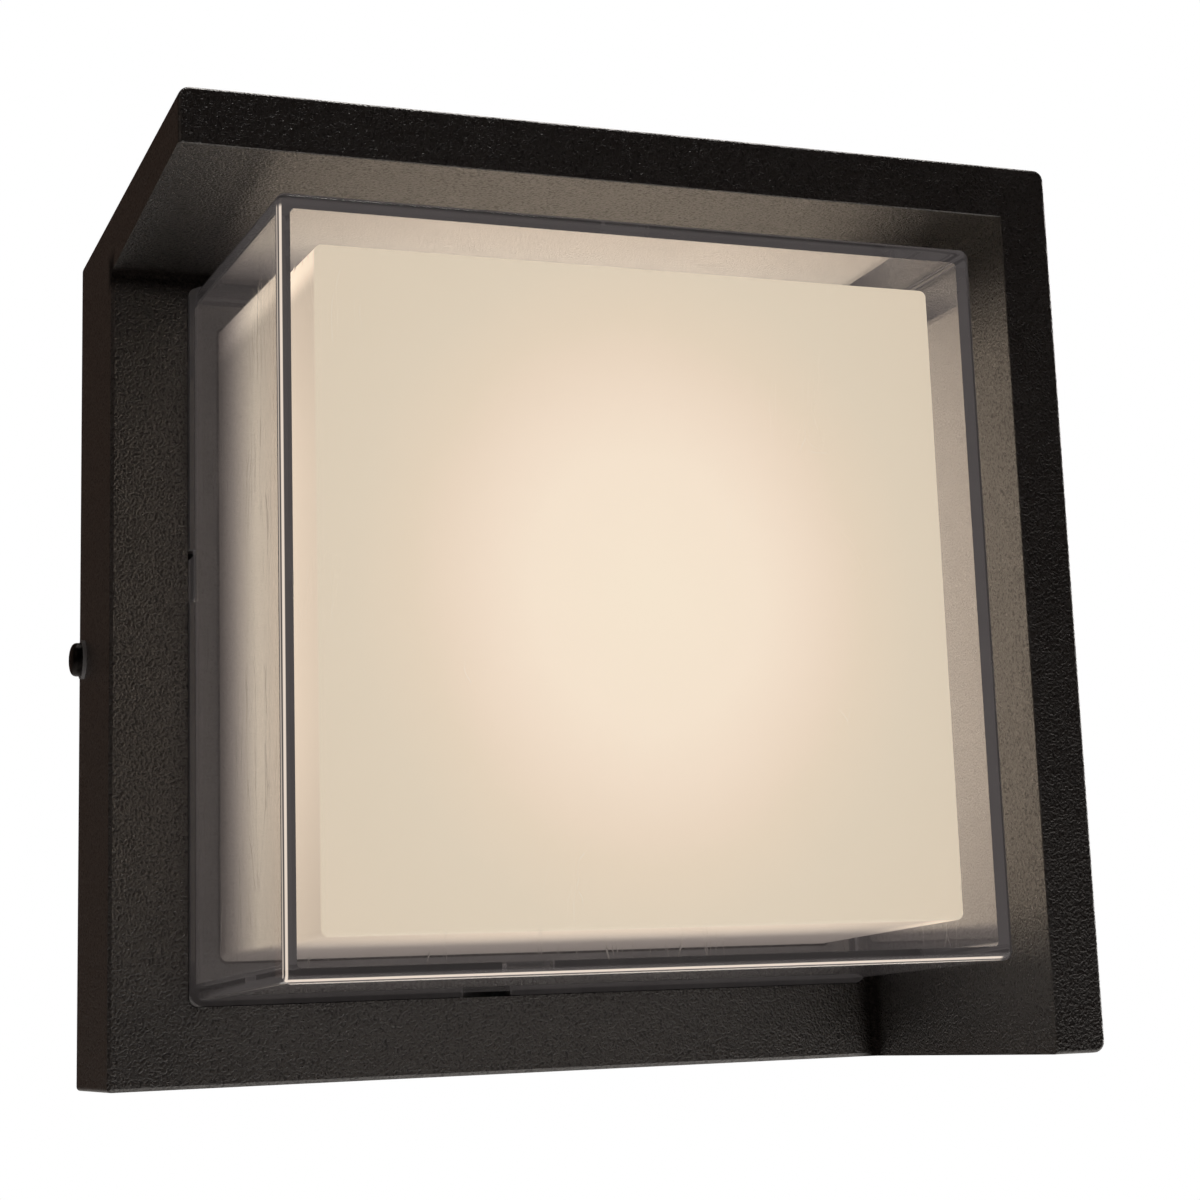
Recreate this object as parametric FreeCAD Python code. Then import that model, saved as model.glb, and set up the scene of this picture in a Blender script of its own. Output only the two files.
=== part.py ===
"""Outdoor wall lantern: square cast base with an L-shaped hood, clear cover and opal diffuser.

Millimetres. Origin at the centre of the wall plane, +X to the viewer's right, +Y into the
wall, +Z up. One STEP file per sub-part is written to parts/.
"""
import FreeCAD, Part
import math
import os

V = FreeCAD.Vector

# --- housing casting ---
WIDTH = 200.0               # across the hood and the base
HEIGHT = 200.0
BASE_DEPTH = 44.0           # wall plane to the base's front face
HOOD_DEPTH = 126.0          # wall plane to the hood's front lip
HOOD_LIP = 12.2             # thickness of the hood at its front lip
HOOD_DRAFT = 2.9            # the hood's inner faces lean in by this much at the base
SHELL = 3.0                 # casting wall
FACE_WALL = 4.5             # base's front wall, which also spreads the heat
HOOD_CORNER_R = 2.5
BASE_CORNER_R = 1.0
EDGE_BREAK = 0.8
ROOT_R = 1.2                # fillet where the hood meets the base
LIP_CHAMFER = 0.2
DRAIN_W = 8.0
DRAIN_H = 2.0

# --- clear cover ---
COVER_MARGIN = 18.7         # housing edge to the cover's outer face at the base
COVER_DRAFT = 1.6           # each side leans in by this much at the front
COVER_SETBACK = 0.8         # cover front behind the hood lip
COVER_T = 3.0
COVER_CORNER_R = 2.0
COVER_EDGE_R = 1.8
FOOT_OUT = 1.0              # foot flange stands out past the wall
FOOT_T = 1.5
NOTCH_OFFSET = 14.0         # notch centre along each side, turned about the centre
NOTCH_LEN = 12.0
TAB_LEN = 10.0
TAB_T = 2.4
TAB_PAST_WALL = 3.0
TAB_GAP = 0.4
GASKET_T = 1.0
GASKET_GROOVE = 0.8
GASKET_GAP = 0.2
GASKET_TO_OPAL = 0.5        # gasket's inner edge to the diffuser's foot

# --- opal diffuser ---
OPAL_GAP = 5.6              # cover inner face to diffuser outer face at the base
OPAL_FRONT_GAP = 3.4
OPAL_DRAFT = 2.0
OPAL_T = 2.0
OPAL_CORNER_R = 1.6
OPAL_EDGE_R = 0.8
OPAL_BOSS_R = 3.5
OPAL_BOSS_LEN = 12.0
OPAL_BOSS_BITE = 0.4        # boss runs this far into the diffuser wall

# --- light engine ---
BOARD_MARGIN = 20.0         # diffuser inner face to board edge
BOARD_T = 1.6
BOARD_CORNER_R = 3.0
PAD_T = 0.5
PAD_MARGIN = 1.0            # board edge to pad edge
CHIP_ROWS = 6
CHIP_MARGIN = 17.2          # board edge to the centre of the outer chips
CHIP_W = 2.8
CHIP_H = 3.5
CHIP_T = 0.7
TRAY_MARGIN = 7.0           # diffuser inner face to tray edge
TRAY_T = 1.0
TRAY_CORNER_R = 4.0
TRAY_LIFT = 0.2             # tray plate clear of the board
TRAY_WINDOW = 6.0
TRAY_HEAD_GAP = 0.8
PLUG_W = 7.0
PLUG_H = 6.0
PLUG_T = 3.4
PLUG_GAP = 1.5
PLUG_INSET = 1.0            # plug's lower face inside the board edge
PLUG_KEY_W = 1.6            # latch window over each lead
PLUG_KEY_H = 1.2
PLUG_KEY_DEEP = 0.6
PLUG_KEY_INSET = 0.8
SCREW_INSET = 5.0           # board screw centres from the board edge

# --- fasteners ---
M3_R = 1.5
M3_HEAD_R = 2.75
M3_HEAD_H = 2.0
M3_CLEAR = 0.2
RUN_CLEAR = 0.05            # running fit of a screw that turns in its thread
M3_BITE = 8.0               # thread hole in a back-plate post
TIP_GAP = 0.5               # screw tip to the end of its blind hole
M4_R = 2.0
M4_HEAD_R = 4.0
M4_HEAD_H = 2.6
M4_WALL_CLEAR = 0.3
CROSS_SPAN = 0.55           # cross recess span, as a share of the head diameter
CROSS_T = 0.22              # cross recess arm width, as a share of the head diameter
CROSS_DEPTH = 0.55          # cross recess depth, as a share of the head height
HEAD_ROUND = 0.45           # head edge radius, as a share of the head height
BLIND_SKIN = 1.0            # metal left under a blind hole
OVERRUN = 1.0               # cutters run this far past the faces they open

# --- driver and back plate ---
DRIVER_W = 100.0
DRIVER_H = 40.0
DRIVER_DROP = 12.0          # driver centre below the lantern's centre
DRIVER_WALL = 2.0
DRIVER_LID_T = 2.0
DRIVER_LID_GAP = 0.15
DRIVER_EAR = 9.0
DRIVER_EAR_T = 3.0
PLATE_GAP = 2.5             # driver to back plate
PLATE_T = 1.5
WIRING_DEPTH = 18.5         # wall plane to the back plate
PLATE_SEAL_T = 1.0
PLATE_MARGIN = 6.0          # casting wall to the plate, above and below
PLATE_SIDE_GAP = 1.0        # nut cage to the plate
PLATE_CORNER_R = 4.0
PLATE_POST_R = 4.5
PLATE_POST_INSET = 7.0
SEAL_W = 8.0

# --- wiring ---
LEAD_R = 0.9
LEAD_BEND = 3.0
LEAD_PITCH = 2.6
GROMMET_R = 3.2
GROMMET_LIP = 1.0
GROMMET_LIP_T = 1.0
FACE_HOLE_BELOW = 5.0       # lead hole centre below the board edge
PLATE_HOLE_RISE = 14.0      # plate lead hole above the driver
BLOCK_W = 30.0
BLOCK_H = 13.0
BLOCK_T = 12.2
BLOCK_RISE = 14.0           # terminal block above the plate lead hole
BLOCK_POLES = 3
BLOCK_SCREW_R = 1.6
BLOCK_SCREW_GAP = 0.35
BLOCK_SCREW_LEN = 3.0
BLOCK_SCREW_SINK = 2.0
BLOCK_SLOT_W = 0.5
BLOCK_SLOT_DEEP = 0.8
BLOCK_GROOVE = 1.2          # groove between two poles
BLOCK_PORT_R = 1.9
BLOCK_PORT_DEEP = 4.0
EARTH_DROP = 7.0            # earth lead's run below the terminal block
EARTH_OUT = 30.0            # earth screw beside the terminal block's earth pole
EARTH_LUG_R = 3.6
EARTH_LUG_T = 0.8
EARTH_TAIL_W = 3.2
EARTH_SCREW_PAST = 1.5      # earth screw's tip past the plate

# --- wall bracket and side screws ---
BRACKET_H = 40.0
BRACKET_T = 2.0
BRACKET_BEND_R = 1.0
BRACKET_TAB_H = 20.0
BRACKET_TAB_REACH = 13.0
BRACKET_SIDE_GAP = 0.1
BRACKET_SLOT_SPACING = 84.0
BRACKET_SLOT_R = 2.3
BRACKET_SLOT_LEN = 16.0
CABLE_HOLE_R = 11.0
SLOT_CLEAR = 0.4            # U-slot round the side screw
SCREW_FROM_WALL = 6.5
WASHER_R = 4.6
WASHER_T = 0.8
NUT_SIDE = 7.0
NUT_T = 3.2
NUT_GAP = 0.1
CAGE_GAP = 0.25
CAGE_WALL = 2.4
CAGE_BACK = 3.3             # cage end ahead of the wall plane
SCREW_PAST_NUT = 1.6
CAGE_FOOT = 8.0             # depth of the cage's foot on the hood's inner wall
BOND_SCREW_X = 20.0
BOND_SCREW_Z = 11.0

# --- derived places ---
HALF_W = WIDTH / 2
HALF_H = HEIGHT / 2
FACE_Y = -BASE_DEPTH
FACE_BACK_Y = FACE_Y + FACE_WALL
COVER_W = WIDTH - 2 * COVER_MARGIN
COVER_H = HEIGHT - 2 * COVER_MARGIN
COVER_BACK_Y = FACE_Y + GASKET_GROOVE - GASKET_T
COVER_FRONT_Y = COVER_SETBACK - HOOD_DEPTH
OPAL_W = COVER_W - 2 * (COVER_T + OPAL_GAP)
OPAL_H = COVER_H - 2 * (COVER_T + OPAL_GAP)
OPAL_FRONT_Y = COVER_FRONT_Y + COVER_T + OPAL_FRONT_GAP
OPAL_BOSS_IN = OPAL_T + OPAL_BOSS_R - OPAL_BOSS_BITE
BOARD_W = OPAL_W - 2 * (OPAL_T + BOARD_MARGIN)
BOARD_H = OPAL_H - 2 * (OPAL_T + BOARD_MARGIN)
BOARD_BACK_Y = FACE_Y - PAD_T
BOARD_FRONT_Y = BOARD_BACK_Y - BOARD_T
TRAY_W = OPAL_W - 2 * (OPAL_T + TRAY_MARGIN)
TRAY_H = OPAL_H - 2 * (OPAL_T + TRAY_MARGIN)
TRAY_BACK_Y = BOARD_FRONT_Y - TRAY_LIFT
PLUG_BOTTOM_Z = PLUG_INSET - BOARD_H / 2
PLUG_TOP_Z = PLUG_BOTTOM_Z + PLUG_H
PLUG_LEAD_Y = BOARD_FRONT_Y - PLUG_T / 2
PLATE_BACK_Y = -WIRING_DEPTH
PLATE_FRONT_Y = PLATE_BACK_Y - PLATE_T
POST_BACK_Y = PLATE_FRONT_Y - PLATE_SEAL_T
DRIVER_BACK_Y = PLATE_FRONT_Y - PLATE_GAP
DRIVER_MID_Y = (FACE_BACK_Y + DRIVER_BACK_Y) / 2
DRIVER_TOP_Z = DRIVER_H / 2 - DRIVER_DROP
DRIVER_BOTTOM_Z = -DRIVER_H / 2 - DRIVER_DROP
CAGE_IN = SHELL + BRACKET_SIDE_GAP + BRACKET_T + NUT_GAP
CAGE_SPAN = NUT_T + SCREW_PAST_NUT
PLATE_W = WIDTH - 2 * (CAGE_IN + CAGE_SPAN + PLATE_SIDE_GAP)
PLATE_H = HEIGHT - 2 * (SHELL + PLATE_MARGIN)
FACE_HOLE_Z = -BOARD_H / 2 - FACE_HOLE_BELOW
PLATE_HOLE_Z = DRIVER_TOP_Z + PLATE_HOLE_RISE
BLOCK_BOTTOM_Z = PLATE_HOLE_Z + BLOCK_RISE
BLOCK_PITCH = BLOCK_W / BLOCK_POLES
BLOCK_LEAD_Y = PLATE_BACK_Y + BLOCK_T / 2
SCREW_Y = -SCREW_FROM_WALL
BLOCK_X = LEAD_PITCH / 2    # the middle pole is in line with the neutral lead
EARTH_X = BLOCK_X + BLOCK_PITCH + EARTH_OUT
EARTH_Z = BLOCK_BOTTOM_Z - EARTH_DROP


def box(x0, x1, y0, y1, z0, z1):
    """Box between opposite corners, given as ranges."""
    return Part.makeBox(x1 - x0, y1 - y0, z1 - z0, V(x0, y0, z0))


def rod(radius, start, direction, length):
    return Part.makeCylinder(radius, length, start, direction)


def prism(points, travel):
    """Flat outline swept along a straight line."""
    outline = Part.makePolygon(points + points[:1])
    return Part.Face(outline).extrude(travel)


def rounded_wire(width, height, radius, y):
    """Rectangle with round corners, centred on the Y axis."""
    half_w = width / 2
    half_h = height / 2
    mid = radius * (1 - math.sqrt(0.5))
    edges = []
    for sx, sz in ((1, 1), (-1, 1), (-1, -1), (1, -1)):
        on_side = V(sx * half_w, y, sz * (half_h - radius))
        on_cap = V(sx * (half_w - radius), y, sz * half_h)
        peak = V(sx * (half_w - mid), y, sz * (half_h - mid))
        turn = [on_side, peak, on_cap]
        if sx * sz < 0:
            turn.reverse()
        if edges:
            edges.append(Part.LineSegment(edges[-1].Vertexes[-1].Point, turn[0]).toShape())
        edges.append(Part.Arc(*turn).toShape())
    edges.append(Part.LineSegment(edges[-1].Vertexes[-1].Point, edges[0].Vertexes[0].Point).toShape())
    return Part.Wire(edges)


def slab(width, height, radius, y0, y1):
    """Plate with round corners between two depths."""
    return Part.Face(rounded_wire(width, height, radius, y0)).extrude(V(0, y1 - y0, 0))


def tapered(width, height, lean, radius, back_y, front_y):
    """Square block that narrows by lean on each side towards the front."""
    back = rounded_wire(width, height, radius, back_y)
    front = rounded_wire(width - 2 * lean, height - 2 * lean, radius, front_y)
    return Part.makeLoft([back, front], True, True)


def round_front(shape, radius):
    """Round every edge that lies wholly on the shape's foremost plane."""
    front = shape.BoundBox.YMin
    edges = [edge for edge in shape.Edges if abs(edge.BoundBox.YMax - front) < 1e-6]
    return shape.makeFillet(radius, edges)


def lead(points, radius, bend):
    """Wire along straight runs joined by right-angle tangent arcs."""
    edges = []
    start = points[0]
    for before, corner, after in zip(points, points[1:], points[2:]):
        back = (before - corner).normalize()
        ahead = (after - corner).normalize()
        first = corner + back * bend
        last = corner + ahead * bend
        middle = corner + (back + ahead) * (bend * (1 - math.sqrt(0.5)))
        edges.append(Part.LineSegment(start, first).toShape())
        edges.append(Part.Arc(first, middle, last).toShape())
        start = last
    edges.append(Part.LineSegment(start, points[-1]).toShape())
    profile = Part.Wire(Part.makeCircle(radius, points[0], points[1] - points[0]))
    return Part.Wire(edges).makePipeShell([profile], True, True)


def pan_screw(seat, direction, length, radius, head_r, head_h):
    """Pan-head screw: the shank runs from the seat along direction, the head stands behind it."""
    top = seat - direction * head_h
    head = rod(head_r, top, direction, head_h)
    crown = [edge for edge in head.Edges
             if edge.BoundBox.DiagonalLength > head_r and (edge.CenterOfMass - top).Length < 1e-6]
    head = head.makeFillet(HEAD_ROUND * head_h, crown)
    side = direction.cross(V(0.3, 0.5, 0.8)).normalize()
    up = direction.cross(side).normalize()
    for along, across in ((side, up), (up, side)):
        span = along * (CROSS_SPAN * head_r)
        half_t = across * (CROSS_T * head_r)
        corners = [top + span + half_t, top + span - half_t, top - span - half_t, top - span + half_t]
        head = head.cut(prism(corners, direction * (CROSS_DEPTH * head_h)))
    return head.fuse(rod(radius, seat, direction, length)).removeSplitter()


def four(x, z):
    """The four mirror-image places about the centre."""
    return [(sx * x, sz * z) for sx in (-1, 1) for sz in (-1, 1)]


def side_stations(near, far, y0, y1, length):
    """A block at the notch place on each side of the cover, near and far measured in from its edge."""
    blocks = []
    low = NOTCH_OFFSET - length / 2
    high = NOTCH_OFFSET + length / 2
    for turn, reach in enumerate((COVER_W, COVER_H) * 2):
        block = box(near - reach / 2, far - reach / 2, y0, y1, low, high)
        block.rotate(V(0, 0, 0), V(0, 1, 0), -90 * turn)
        blocks.append(block)
    return blocks


def hood_void(half, along, reach, inward):
    """Space in front of the base under one hood wall, seen in the profile of that wall."""
    front = -HOOD_DEPTH
    lip = half - HOOD_LIP
    root = lip - HOOD_DRAFT
    far = -half - OVERRUN
    mid = ROOT_R * (1 - math.sqrt(0.5))
    turn_out = inward(root, FACE_Y - ROOT_R)
    turn_mid = inward(root - mid, FACE_Y - mid)
    turn_in = inward(root - ROOT_R, FACE_Y)
    run = [inward(far, FACE_Y), inward(far, front - OVERRUN), inward(lip + LIP_CHAMFER, front - OVERRUN),
           inward(lip + LIP_CHAMFER, front), inward(lip, front + LIP_CHAMFER), turn_out]
    edges = [Part.LineSegment(a, b).toShape() for a, b in zip(run, run[1:])]
    edges.append(Part.Arc(turn_out, turn_mid, turn_in).toShape())
    edges.append(Part.LineSegment(turn_in, run[0]).toShape())
    return Part.Face(Part.Wire(edges)).extrude(along * reach)


def hood_core(half, length, place):
    """Hollow inside one hood wall, open to the base's inner space."""
    outer = half - SHELL
    near = half - HOOD_LIP - HOOD_DRAFT + SHELL
    far = half - HOOD_LIP + SHELL
    points = [place(near, FACE_BACK_Y), place(outer, FACE_BACK_Y),
              place(outer, SHELL - HOOD_DEPTH), place(far, SHELL - HOOD_DEPTH)]
    return prism(points, length)


def make_housing():
    body = box(-HALF_W, HALF_W, -HOOD_DEPTH, 0, -HALF_H, HALF_H)
    for sx, sz, radius in ((-1, 1, HOOD_CORNER_R), (1, 1, HOOD_CORNER_R), (1, -1, HOOD_CORNER_R),
                           (-1, -1, BASE_CORNER_R)):
        corner = V(sx * HALF_W, -HOOD_DEPTH / 2, sz * HALF_H)
        edge = [e for e in body.Edges if (e.CenterOfMass - corner).Length < 1e-3]
        body = body.makeFillet(radius, edge)
    body = round_front(body, EDGE_BREAK)

    left_x = -HALF_W - OVERRUN
    below_z = -HALF_H - OVERRUN
    under_top = hood_void(HALF_H, V(1, 0, 0), WIDTH + 2 * OVERRUN, lambda a, y: V(left_x, y, a))
    beside_right = hood_void(HALF_W, V(0, 0, 1), HEIGHT + 2 * OVERRUN, lambda a, y: V(a, y, below_z))
    body = body.cut(under_top.common(beside_right))

    rise = HALF_H - HOOD_LIP - HOOD_DRAFT - ROOT_R
    across = HALF_W - HOOD_LIP - HOOD_DRAFT - ROOT_R
    ahead_y = FACE_Y - OVERRUN
    break_y = FACE_Y + EDGE_BREAK + OVERRUN
    left = [V(left_x, break_y, -HALF_H), V(left_x, ahead_y, -HALF_H),
            V(-HALF_W + EDGE_BREAK + OVERRUN, ahead_y, -HALF_H)]
    below = [V(-HALF_W, break_y, below_z), V(-HALF_W, ahead_y, below_z),
             V(-HALF_W, ahead_y, -HALF_H + EDGE_BREAK + OVERRUN)]
    body = body.cut(prism(left, V(0, 0, HALF_H + rise)).fuse(prism(below, V(HALF_W + across, 0, 0))))

    space = box(-HALF_W + SHELL, HALF_W - SHELL, FACE_BACK_Y, OVERRUN, -HALF_H + SHELL, HALF_H - SHELL)
    cores = [hood_core(HALF_H, V(WIDTH - 2 * SHELL, 0, 0), lambda a, y: V(-HALF_W + SHELL, y, a)),
             hood_core(HALF_W, V(0, 0, HEIGHT - 2 * SHELL), lambda a, y: V(a, y, -HALF_H + SHELL))]
    body = body.cut(space.multiFuse(cores))

    add = []
    for x, z in four(PLATE_W / 2 - PLATE_POST_INSET, PLATE_H / 2 - PLATE_POST_INSET):
        add.append(rod(PLATE_POST_R, V(x, FACE_BACK_Y, z), V(0, 1, 0), POST_BACK_Y - FACE_BACK_Y))
    cage_half = NUT_SIDE / 2 + CAGE_GAP + CAGE_WALL
    for sx in (-1, 1):
        near = sx * (HALF_W - CAGE_IN)
        far = sx * (HALF_W - CAGE_IN - CAGE_SPAN)
        foot = sx * (HALF_W - HOOD_LIP - HOOD_DRAFT)
        add.append(box(min(near, far), max(near, far), FACE_BACK_Y, -CAGE_BACK, -cage_half, cage_half))
        add.append(box(min(near, foot), max(near, foot), FACE_BACK_Y, FACE_BACK_Y + CAGE_FOOT,
                       -cage_half, cage_half))
    body = body.multiFuse(add)

    cuts = []
    for x, z in four(PLATE_W / 2 - PLATE_POST_INSET, PLATE_H / 2 - PLATE_POST_INSET):
        cuts.append(rod(M3_R, V(x, POST_BACK_Y, z), V(0, -1, 0), M3_BITE))
    slot_half = NUT_SIDE / 2 + CAGE_GAP
    for sx in (-1, 1):
        near = sx * (HALF_W - CAGE_IN + NUT_GAP)
        far = sx * (HALF_W - CAGE_IN - CAGE_SPAN - OVERRUN)
        cuts.append(box(min(near, far), max(near, far), SCREW_Y - slot_half, 0, -slot_half, slot_half))
        cuts.append(rod(M4_R + M4_WALL_CLEAR, V(sx * (HALF_W + OVERRUN), SCREW_Y, 0), V(-sx, 0, 0),
                        SHELL + 2 * OVERRUN))
    for x, z in four(BOARD_W / 2 - SCREW_INSET, BOARD_H / 2 - SCREW_INSET):
        cuts.append(rod(M3_R, V(x, FACE_Y, z), V(0, 1, 0), FACE_WALL - BLIND_SKIN))
    for x, z in four(OPAL_W / 2 - OPAL_BOSS_IN, OPAL_H / 2 - OPAL_BOSS_IN):
        cuts.append(rod(M3_R + M3_CLEAR, V(x, ahead_y, z), V(0, 1, 0), FACE_WALL + 2 * OVERRUN))
    for x in (-1, 1):
        ear_x = x * (DRIVER_W + DRIVER_EAR) / 2
        cuts.append(rod(M3_R, V(ear_x, FACE_BACK_Y, -DRIVER_DROP), V(0, -1, 0), FACE_WALL - BLIND_SKIN))
    cuts.append(rod(GROMMET_R, V(0, ahead_y, FACE_HOLE_Z), V(0, 1, 0), FACE_WALL + 2 * OVERRUN))
    groove = FOOT_OUT + GASKET_GAP
    floor_y = FACE_Y + GASKET_GROOVE
    ring = slab(COVER_W + 2 * groove, COVER_H + 2 * groove, COVER_CORNER_R, ahead_y, floor_y)
    inset = COVER_T + OPAL_GAP - GASKET_TO_OPAL + GASKET_GAP
    island = slab(COVER_W - 2 * inset, COVER_H - 2 * inset, COVER_CORNER_R, ahead_y, floor_y)
    cuts.append(ring.cut(island))
    cuts.extend(side_stations(-groove, TAB_T + 2 * TAB_GAP, ahead_y, FACE_BACK_Y + OVERRUN, NOTCH_LEN))
    cuts.append(box(-DRAIN_W / 2, DRAIN_W / 2, -DRAIN_H, OVERRUN, below_z, -HALF_H + SHELL + OVERRUN))
    return body.cut(cuts[0].multiFuse(cuts[1:])).removeSplitter()


def make_cover():
    outer = tapered(COVER_W, COVER_H, COVER_DRAFT, COVER_CORNER_R, COVER_BACK_Y, COVER_FRONT_Y)
    outer = round_front(outer, COVER_EDGE_R)
    inner = tapered(COVER_W - 2 * COVER_T, COVER_H - 2 * COVER_T, COVER_DRAFT, COVER_CORNER_R / 2,
                    COVER_BACK_Y, COVER_FRONT_Y + COVER_T)
    foot = slab(COVER_W + 2 * FOOT_OUT, COVER_H + 2 * FOOT_OUT, COVER_CORNER_R + FOOT_OUT,
                COVER_BACK_Y - FOOT_T, COVER_BACK_Y)
    gaps = side_stations(-FOOT_OUT - OVERRUN, 0, COVER_BACK_Y - FOOT_T - OVERRUN, COVER_BACK_Y + OVERRUN,
                         NOTCH_LEN)
    foot = foot.cut(gaps[0].multiFuse(gaps[1:]))
    shell = outer.fuse(foot).cut(inner)
    tabs = side_stations(TAB_GAP, TAB_GAP + TAB_T, COVER_BACK_Y - TAB_T, FACE_BACK_Y + TAB_PAST_WALL,
                         TAB_LEN)
    return shell.multiFuse(tabs).removeSplitter()


def make_cover_gasket():
    back = FACE_Y + GASKET_GROOVE
    outer = slab(COVER_W + 2 * FOOT_OUT, COVER_H + 2 * FOOT_OUT, COVER_CORNER_R, COVER_BACK_Y, back)
    inset = COVER_T + OPAL_GAP - GASKET_TO_OPAL
    inner = slab(COVER_W - 2 * inset, COVER_H - 2 * inset, COVER_CORNER_R, COVER_BACK_Y, back)
    windows = side_stations(-FOOT_OUT - OVERRUN, TAB_T + 2 * TAB_GAP, COVER_BACK_Y - OVERRUN,
                            back + OVERRUN, NOTCH_LEN)
    return outer.cut(inner).cut(windows[0].multiFuse(windows[1:]))


def make_diffuser():
    outer = tapered(OPAL_W, OPAL_H, OPAL_DRAFT, OPAL_CORNER_R, FACE_Y, OPAL_FRONT_Y)
    outer = round_front(outer, OPAL_EDGE_R)
    inner = tapered(OPAL_W - 2 * OPAL_T, OPAL_H - 2 * OPAL_T, OPAL_DRAFT, OPAL_CORNER_R / 2,
                    FACE_Y, OPAL_FRONT_Y + OPAL_T)
    shell = outer.cut(inner)
    places = four(OPAL_W / 2 - OPAL_BOSS_IN, OPAL_H / 2 - OPAL_BOSS_IN)
    bosses = [rod(OPAL_BOSS_R, V(x, FACE_Y, z), V(0, -1, 0), OPAL_BOSS_LEN) for x, z in places]
    holes = [rod(M3_R, V(x, FACE_Y, z), V(0, -1, 0), OPAL_BOSS_LEN - OPAL_T) for x, z in places]
    return shell.multiFuse(bosses).cut(holes[0].multiFuse(holes[1:])).removeSplitter()


def make_diffuser_screws():
    length = FACE_WALL + OPAL_BOSS_LEN - OPAL_T - TIP_GAP
    return [pan_screw(V(x, FACE_BACK_Y, z), V(0, -1, 0), length, M3_R, M3_HEAD_R, M3_HEAD_H)
            for x, z in four(OPAL_W / 2 - OPAL_BOSS_IN, OPAL_H / 2 - OPAL_BOSS_IN)]


def board_holes(radius):
    places = four(BOARD_W / 2 - SCREW_INSET, BOARD_H / 2 - SCREW_INSET)
    reach = FACE_Y - TRAY_BACK_Y + TRAY_T + 2 * OVERRUN
    return [rod(radius, V(x, FACE_Y + OVERRUN, z), V(0, -1, 0), reach) for x, z in places]


def make_board():
    holes = board_holes(M3_R + M3_CLEAR)
    plate = slab(BOARD_W, BOARD_H, BOARD_CORNER_R, BOARD_BACK_Y, BOARD_FRONT_Y)
    return plate.cut(holes[0].multiFuse(holes[1:]))


def make_pad():
    holes = board_holes(M3_R + M3_CLEAR)
    sheet = slab(BOARD_W - 2 * PAD_MARGIN, BOARD_H - 2 * PAD_MARGIN, BOARD_CORNER_R, FACE_Y, BOARD_BACK_Y)
    return sheet.cut(holes[0].multiFuse(holes[1:]))


def chip_places():
    span_x = BOARD_W - 2 * CHIP_MARGIN
    span_z = BOARD_H - 2 * CHIP_MARGIN
    steps = [i / (CHIP_ROWS - 1) - 0.5 for i in range(CHIP_ROWS)]
    return [(a * span_x, b * span_z) for a in steps for b in steps]


def make_chips():
    half_w = CHIP_W / 2
    half_h = CHIP_H / 2
    front = BOARD_FRONT_Y - CHIP_T
    return [box(x - half_w, x + half_w, front, BOARD_FRONT_Y, z - half_h, z + half_h)
            for x, z in chip_places()]


def make_tray():
    front = TRAY_BACK_Y - TRAY_T
    shell = slab(TRAY_W, TRAY_H, TRAY_CORNER_R, FACE_Y, front)
    hollow = slab(TRAY_W - 2 * TRAY_T, TRAY_H - 2 * TRAY_T, TRAY_CORNER_R - TRAY_T, FACE_Y, TRAY_BACK_Y)
    half = TRAY_WINDOW / 2
    ahead = front - OVERRUN
    behind = TRAY_BACK_Y + OVERRUN
    windows = [box(x - half, x + half, ahead, behind, z - half, z + half) for x, z in chip_places()]
    windows += board_holes(M3_HEAD_R + TRAY_HEAD_GAP)
    side = PLUG_W / 2 + PLUG_GAP
    windows.append(box(-side, side, ahead, behind, FACE_HOLE_Z - LEAD_R - PLUG_GAP, PLUG_TOP_Z + PLUG_GAP))
    return shell.cut(hollow).cut(windows[0].multiFuse(windows[1:]))


def make_board_screws():
    length = PAD_T + BOARD_T + FACE_WALL - BLIND_SKIN - TIP_GAP
    return [pan_screw(V(x, BOARD_FRONT_Y, z), V(0, 1, 0), length, M3_R, M3_HEAD_R, M3_HEAD_H)
            for x, z in four(BOARD_W / 2 - SCREW_INSET, BOARD_H / 2 - SCREW_INSET)]


def lead_columns():
    return (-LEAD_PITCH / 2, LEAD_PITCH / 2)


def make_plug():
    front = BOARD_FRONT_Y - PLUG_T
    body = box(-PLUG_W / 2, PLUG_W / 2, front, BOARD_FRONT_Y, PLUG_BOTTOM_Z, PLUG_TOP_Z)
    key_top = PLUG_TOP_Z - PLUG_KEY_INSET
    cuts = []
    for x in lead_columns():
        cuts.append(rod(LEAD_R, V(x, PLUG_LEAD_Y, PLUG_BOTTOM_Z), V(0, 0, 1), PLUG_H / 2))
        cuts.append(box(x - PLUG_KEY_W / 2, x + PLUG_KEY_W / 2, front, front + PLUG_KEY_DEEP,
                        key_top - PLUG_KEY_H, key_top))
    return body.cut(cuts[0].multiFuse(cuts[1:]))


def make_led_lead(x):
    points = [V(x, PLUG_LEAD_Y, PLUG_BOTTOM_Z + PLUG_H / 2), V(x, PLUG_LEAD_Y, FACE_HOLE_Z),
              V(x, DRIVER_MID_Y, FACE_HOLE_Z), V(x, DRIVER_MID_Y, DRIVER_BOTTOM_Z)]
    return lead(points, LEAD_R, LEAD_BEND)


def make_grommet(z, wall_front, wall_back):
    """Sealing grommet: a lip on each face of its wall and a hole for each lead."""
    body = rod(GROMMET_R, V(0, wall_front, z), V(0, 1, 0), wall_back - wall_front)
    lips = [rod(GROMMET_R + GROMMET_LIP, V(0, wall_front - GROMMET_LIP_T, z), V(0, 1, 0), GROMMET_LIP_T),
            rod(GROMMET_R + GROMMET_LIP, V(0, wall_back, z), V(0, 1, 0), GROMMET_LIP_T)]
    start = wall_front - GROMMET_LIP_T - OVERRUN
    length = wall_back - wall_front + 2 * (GROMMET_LIP_T + OVERRUN)
    holes = [rod(LEAD_R, V(x, start, z), V(0, 1, 0), length) for x in lead_columns()]
    return body.multiFuse(lips).cut(holes[0].multiFuse(holes[1:])).removeSplitter()


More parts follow.
